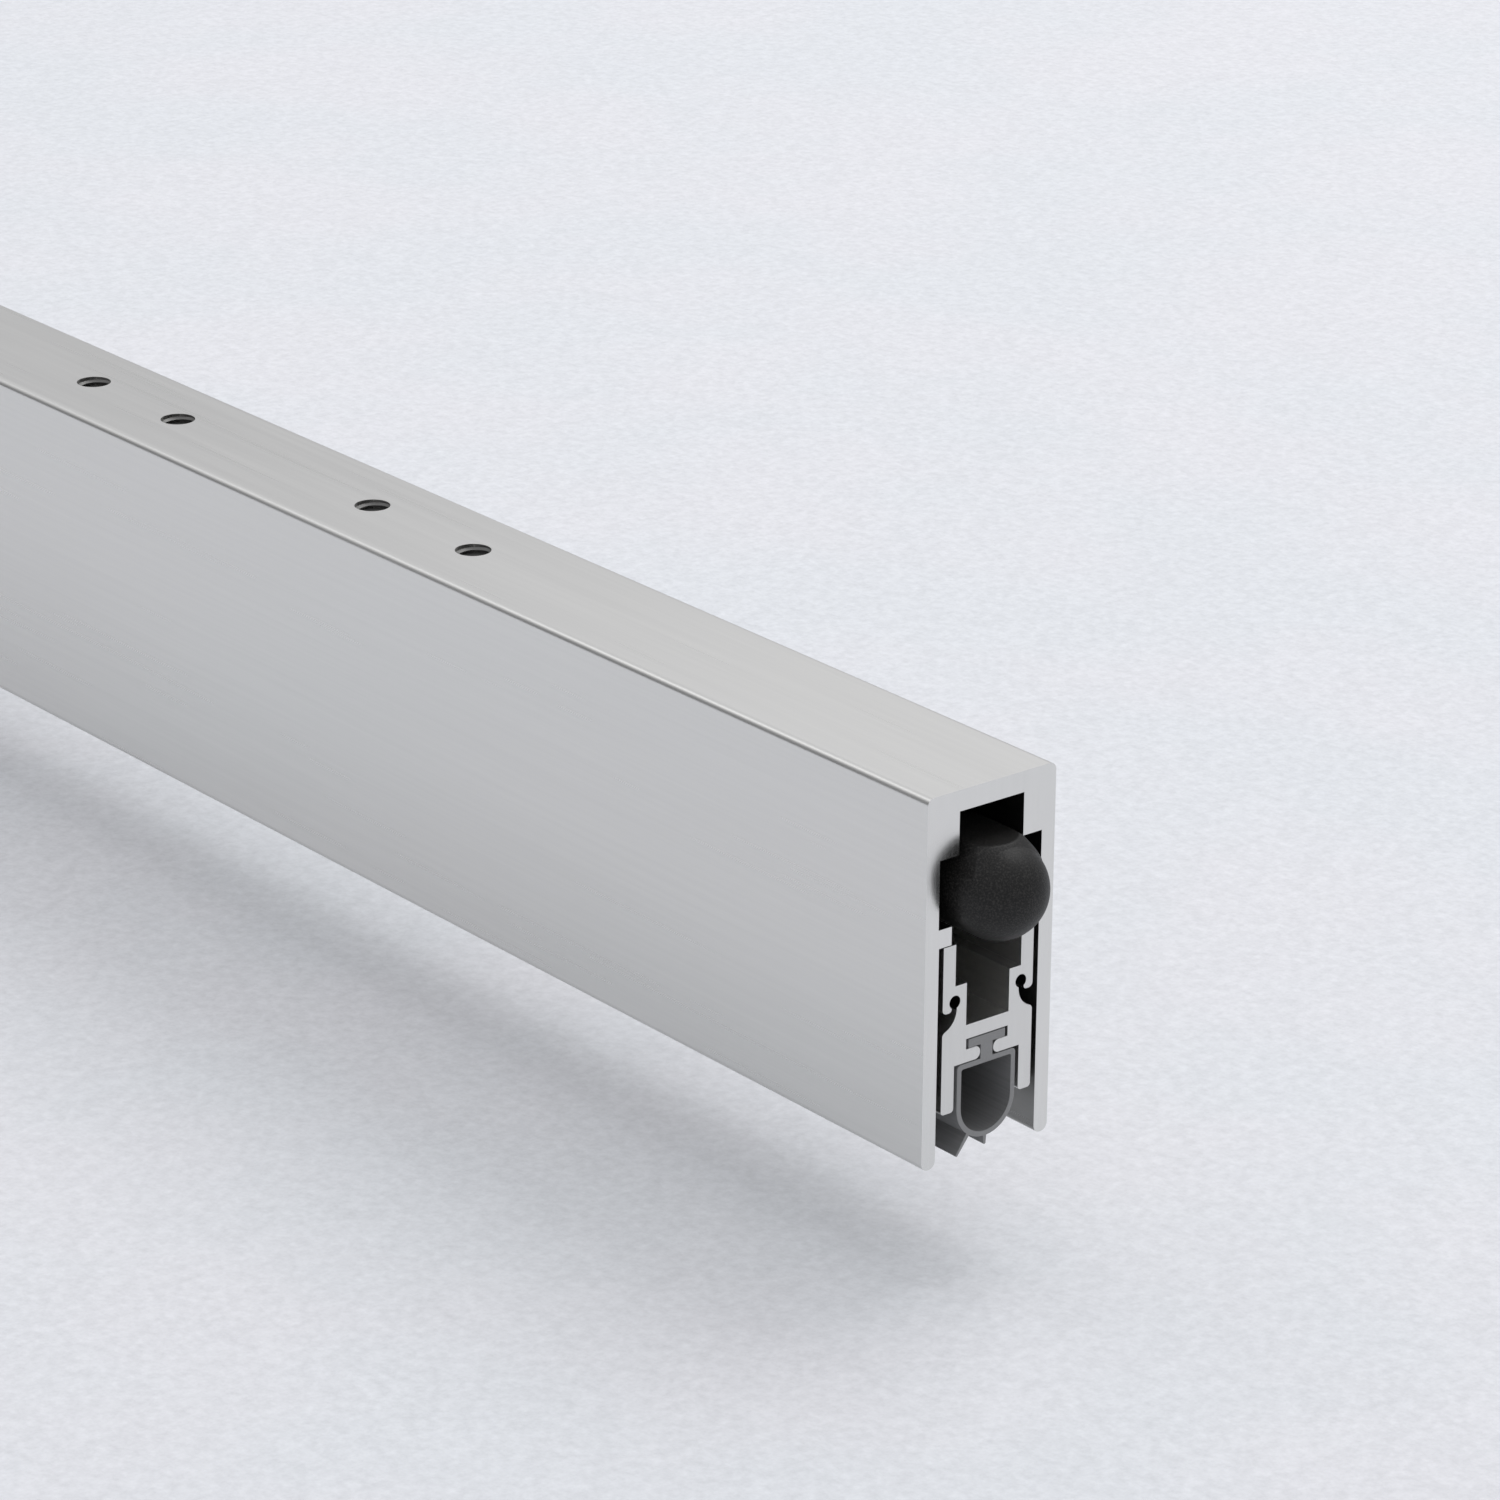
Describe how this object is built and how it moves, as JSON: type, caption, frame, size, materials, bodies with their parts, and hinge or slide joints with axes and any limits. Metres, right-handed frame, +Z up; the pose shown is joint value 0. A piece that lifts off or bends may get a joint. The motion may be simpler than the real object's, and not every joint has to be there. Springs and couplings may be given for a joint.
{
  "type": "door bottom seal",
  "caption": "Drop-down door bottom seal: aluminium case for a groove in the door, with a ball-nosed push button that lowers an inner carrier with a hollow rubber gasket.",
  "frame": {"origin": "middle of the case's top face", "axes": "+X along the seal towards the push button, +Y across the door, +Z up"},
  "size_m": [0.3397, 0.0126, 0.03],
  "materials": {
    "case_aluminium": "satin brushed",
    "carrier_aluminium": "plain mill",
    "gasket_rubber": "matt grey rubber",
    "button_plastic": "fine matt grain",
    "block_plastic": "plain moulded",
    "bracket_zinc": "die cast",
    "zinc_steel": "bright zinc plated",
    "spring_steel": "drawn wire",
    "black_steel": "black oxide"
  },
  "bodies": {
    "case": {"case": "case_aluminium", "guide_block": "block_plastic", "guide_block_screw": "black_steel", "return_spring": "spring_steel", "fixed_block_1": "block_plastic", "fixed_block_screw_1": "black_steel", "fixed_pin_1": "zinc_steel", "fixed_block_2": "block_plastic", "fixed_block_screw_2": "black_steel", "fixed_pin_2": "zinc_steel"},
    "button": {"push_button": "button_plastic", "adjusting_screw": "zinc_steel", "lock_nut": "zinc_steel", "spring_washer": "zinc_steel", "push_rod": "zinc_steel", "slide_block_1": "block_plastic", "slide_block_screw_1": "black_steel", "slide_block_2": "block_plastic", "slide_block_screw_2": "black_steel"},
    "carrier": {"carrier": "carrier_aluminium", "gasket": "gasket_rubber", "carrier_bracket_1": "bracket_zinc", "bracket_screw_1": "black_steel", "carrier_bracket_2": "bracket_zinc", "bracket_screw_2": "black_steel"},
    "short_link_1": {"short_link_1": "zinc_steel", "middle_pin_1": "zinc_steel"},
    "long_link_1": {"long_link_1": "zinc_steel", "slide_pin_1": "zinc_steel", "carrier_pin_1": "zinc_steel"},
    "short_link_2": {"short_link_2": "zinc_steel", "middle_pin_2": "zinc_steel"},
    "long_link_2": {"long_link_2": "zinc_steel", "slide_pin_2": "zinc_steel", "carrier_pin_2": "zinc_steel"}
  },
  "joints": [
    {"name": "button_slide", "type": "slide", "parent": "case", "child": "button", "axis": [-1, 0, 0], "range_m": [0, 0.0045], "stiffness_N_per_m": 900, "springref_m": -0.004, "deforming": ["return_spring"]},
    {"name": "carrier_drop", "type": "slide", "parent": "case", "child": "carrier", "axis": [0, 0, -1], "range_m": [0, 0.01]},
    {"name": "short_link_1_swing", "type": "hinge", "parent": "case", "child": "short_link_1", "pos_m": [0.08351, 0, -0.00793], "axis": [0, 1, 0], "range_deg": [0, 22.59]},
    {"name": "long_link_1_swing", "type": "hinge", "parent": "short_link_1", "child": "long_link_1", "pos_m": [0.09716, 0, -0.01107], "axis": [0, -1, 0], "range_deg": [0, 45.17]},
    {"name": "short_link_2_swing", "type": "hinge", "parent": "case", "child": "short_link_2", "pos_m": [-0.1075, 0, -0.00793], "axis": [0, 1, 0], "range_deg": [0, 22.59]},
    {"name": "long_link_2_swing", "type": "hinge", "parent": "short_link_2", "child": "long_link_2", "pos_m": [-0.09385, 0, -0.01107], "axis": [0, -1, 0], "range_deg": [0, 45.17]}
  ],
  "couplings": [
    {"joint": "carrier_drop", "follows": "button_slide", "ratio": 2.2222},
    {"joint": "short_link_1_swing", "follows": "button_slide", "rad_per_m": 87.597},
    {"joint": "long_link_1_swing", "follows": "button_slide", "rad_per_m": 175.19},
    {"joint": "short_link_2_swing", "follows": "button_slide", "rad_per_m": 87.597},
    {"joint": "long_link_2_swing", "follows": "button_slide", "rad_per_m": 175.19}
  ]
}
